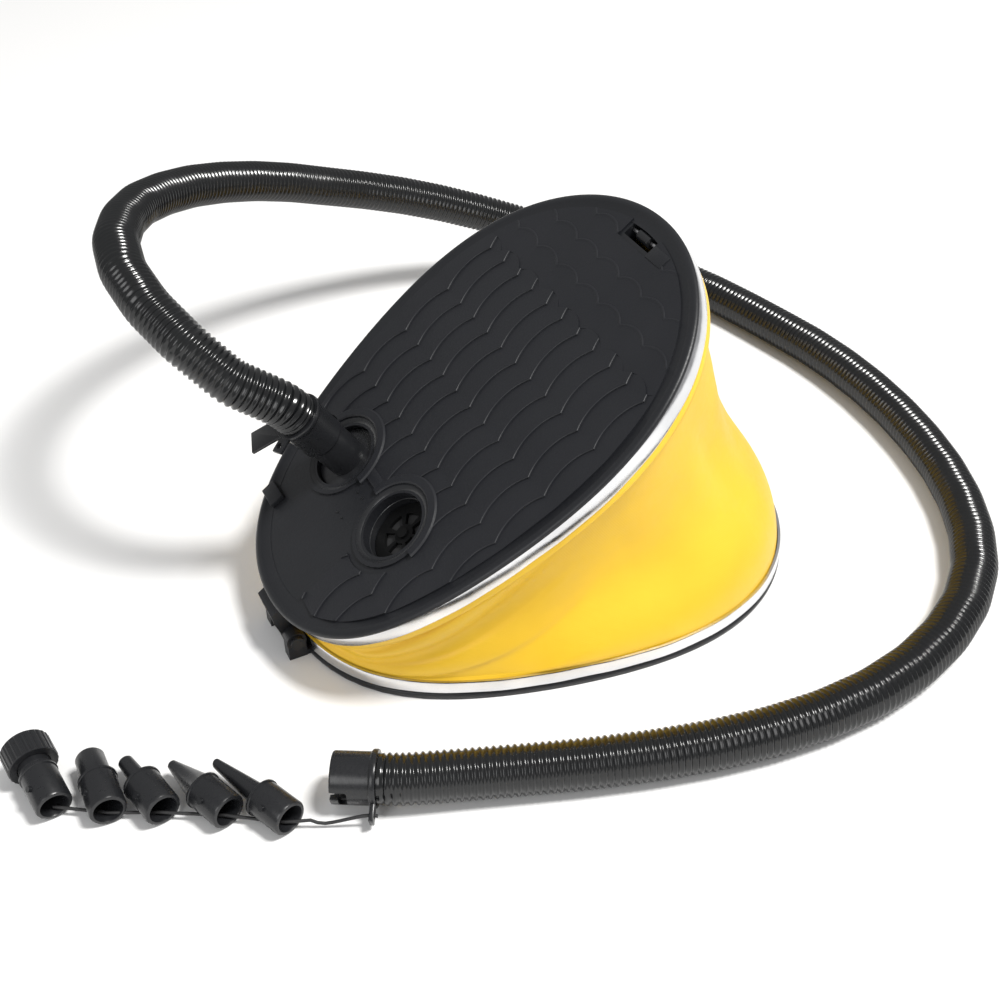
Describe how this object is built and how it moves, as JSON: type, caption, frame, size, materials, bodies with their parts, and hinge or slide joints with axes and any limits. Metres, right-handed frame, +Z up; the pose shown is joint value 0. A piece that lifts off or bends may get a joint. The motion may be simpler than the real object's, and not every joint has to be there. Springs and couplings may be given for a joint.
{
  "type": "foot air pump",
  "caption": "Bellows foot pump with a sprung treadle hinged at one end, coated-cloth bellows, corrugated hose with bayonet cuffs and loose inflator nozzles.",
  "frame": {"origin": "centre of the pump's footprint on the floor, between the hinge end and the open end", "axes": "+X from the hinge to the open end, +Y across to the outlet side, +Z up"},
  "size_m": [0.6126, 0.5464, 0.2071],
  "materials": {
    "black_shell": "satin moulded",
    "black_gloss": "glossy moulded",
    "hose_plastic": "glossy corrugated",
    "yellow_cloth": "smooth coated cloth",
    "bright_band": "bright rolled strip",
    "steel": "plain",
    "soft_rubber": "matt",
    "tie_line": "matt cord"
  },
  "bodies": {
    "base": {"base_shell": "black_shell", "base_band": "bright_band", "hinge_pin": "steel", "pin_clip": "steel", "return_spring": "steel", "bellows": "yellow_cloth", "hose": "hose_plastic", "end_cuff": "black_gloss", "nozzle_screw_body": "black_gloss", "nozzle_wide": "black_gloss", "nozzle_narrow": "black_gloss", "nozzle_cone": "black_gloss", "nozzle_slant": "black_gloss", "tie_cord": "tie_line"},
    "pedal": {"top_shell": "black_shell", "top_band": "bright_band", "outlet_pipe": "black_gloss", "outlet_seal": "soft_rubber", "intake_grid": "black_shell", "intake_peg": "black_shell", "outlet_grid": "black_shell", "outlet_peg": "black_shell", "latch_pin": "steel"},
    "intake_disc": {"intake_flap": "soft_rubber"},
    "outlet_disc": {"outlet_flap": "soft_rubber"},
    "latch": {"latch_hook": "black_shell"},
    "hose_cuff": {"pump_cuff": "black_gloss"},
    "screw_collar": {"nozzle_collar": "black_gloss"}
  },
  "joints": [
    {"name": "pedal_hinge", "type": "hinge", "parent": "base", "child": "pedal", "pos_m": [-0.15045, 0, 0.0125], "axis": [0, 1, 0], "range_deg": [0, 35], "stiffness_Nm_per_rad": 5, "springref_deg": -22.92, "deforming": ["bellows", "return_spring", "hose"]},
    {"name": "intake_flap_lift", "type": "slide", "parent": "pedal", "child": "intake_disc", "axis": [-0.5779, 0, 0.8161], "range_m": [-0.0018, 0], "stiffness_N_per_m": 60, "springref_m": 0.0005},
    {"name": "outlet_flap_lift", "type": "slide", "parent": "pedal", "child": "outlet_disc", "axis": [-0.5779, 0, 0.8161], "range_m": [0, 0.0018], "stiffness_N_per_m": 60, "springref_m": -0.0005},
    {"name": "latch_turn", "type": "hinge", "parent": "pedal", "child": "latch", "pos_m": [0.07922, 0, 0.19656], "axis": [0, 1, 0], "range_deg": [0, 14]},
    {"name": "cuff_turn", "type": "hinge", "parent": "pedal", "child": "hose_cuff", "pos_m": [-0.1026, 0.044, 0.09686], "axis": [-0.5779, 0, 0.8161], "range_deg": [0, 40]},
    {"name": "collar_spin", "type": "hinge", "parent": "base", "child": "screw_collar", "pos_m": [-0.3, -0.075, 0.01005], "axis": [-0.121, 0.9851, 0.1219], "continuous": true}
  ]
}
